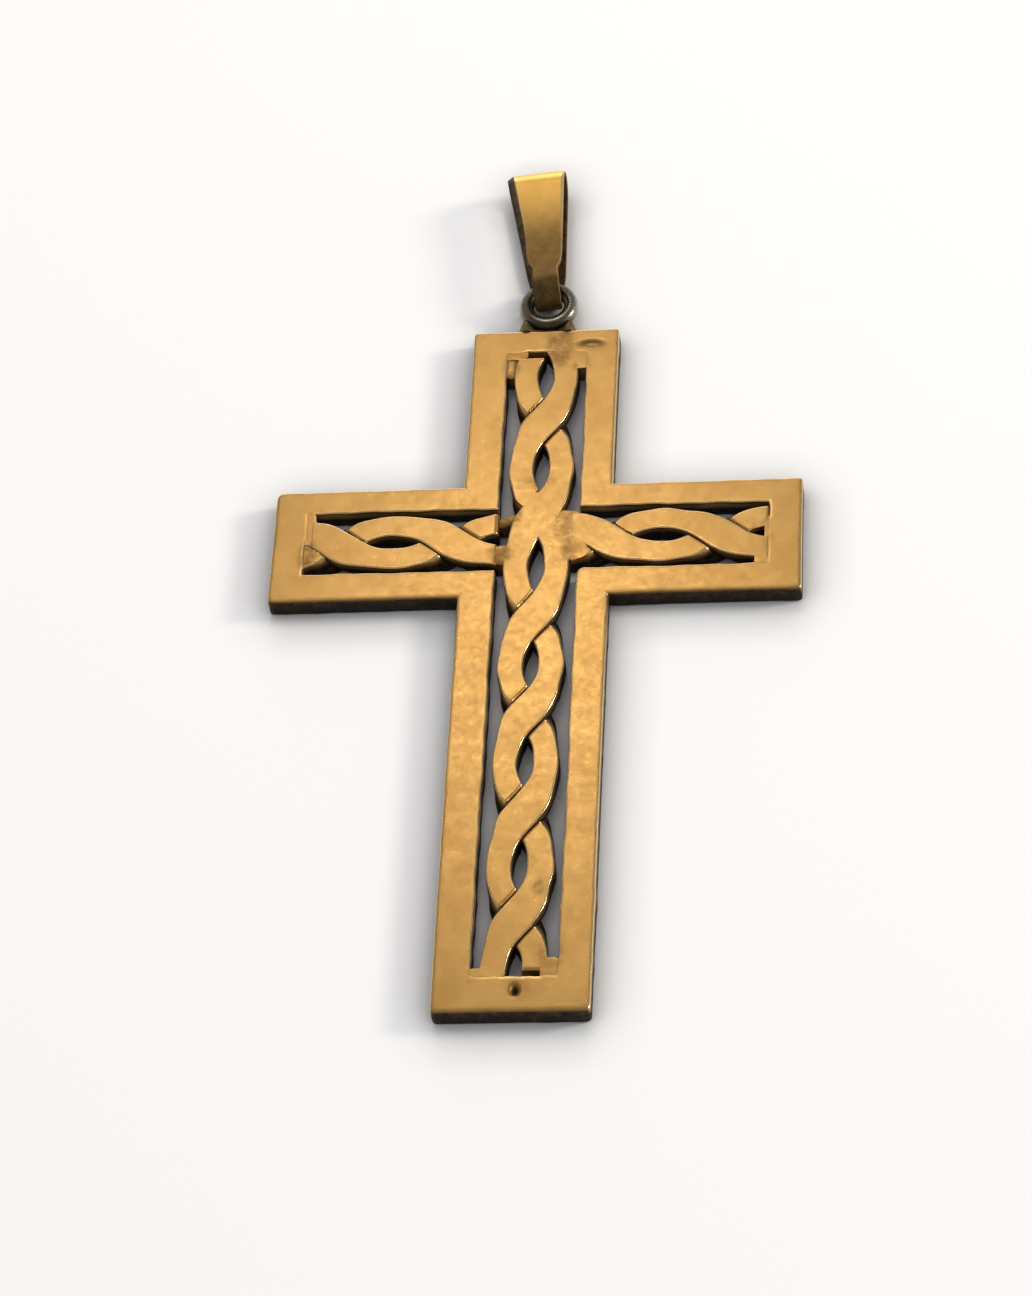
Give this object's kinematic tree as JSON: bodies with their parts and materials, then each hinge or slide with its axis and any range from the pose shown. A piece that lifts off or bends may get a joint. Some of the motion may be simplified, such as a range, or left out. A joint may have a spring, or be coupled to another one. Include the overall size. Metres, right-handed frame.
{
  "type": "cross pendant",
  "caption": "Flat Latin cross pendant: a pierced brass frame filled with rolled two-wire twists, hung from a soldered ring by a folded bail that swings.",
  "frame": {"origin": "centre of the footprint, on the plane that the frame's back lies on", "axes": "+X across the arms, +Y from the foot to the bail, +Z out of the front face"},
  "size_m": [0.034, 0.0656, 0.0029],
  "materials": {
    "gilt_brass": "satin, brushed, worn bright on the edges and blackened in the recesses",
    "ring_brass": "dull, greyed where the gilding has worn off",
    "solder": "matt, reddish brown"
  },
  "bodies": {
    "cross": {"frame": "gilt_brass", "upright_wire_a": "gilt_brass", "upright_wire_b": "gilt_brass", "left_arm_wire_a": "gilt_brass", "left_arm_wire_b": "gilt_brass", "right_arm_wire_a": "gilt_brass", "right_arm_wire_b": "gilt_brass", "head_solder": "solder", "foot_solder": "solder", "left_end_solder": "solder", "right_end_solder": "solder", "left_joint_solder": "solder", "right_joint_solder": "solder", "hanging_ring": "ring_brass", "ring_solder": "solder"},
    "bail": {"bail": "gilt_brass", "bail_solder": "solder"}
  },
  "joints": [
    {"name": "bail_swing", "type": "hinge", "parent": "cross", "child": "bail", "pos_m": [-0.00013, 0.02277, 0.0014], "axis": [0.994, 0.1097, 0], "range_deg": [-95, 115]}
  ]
}
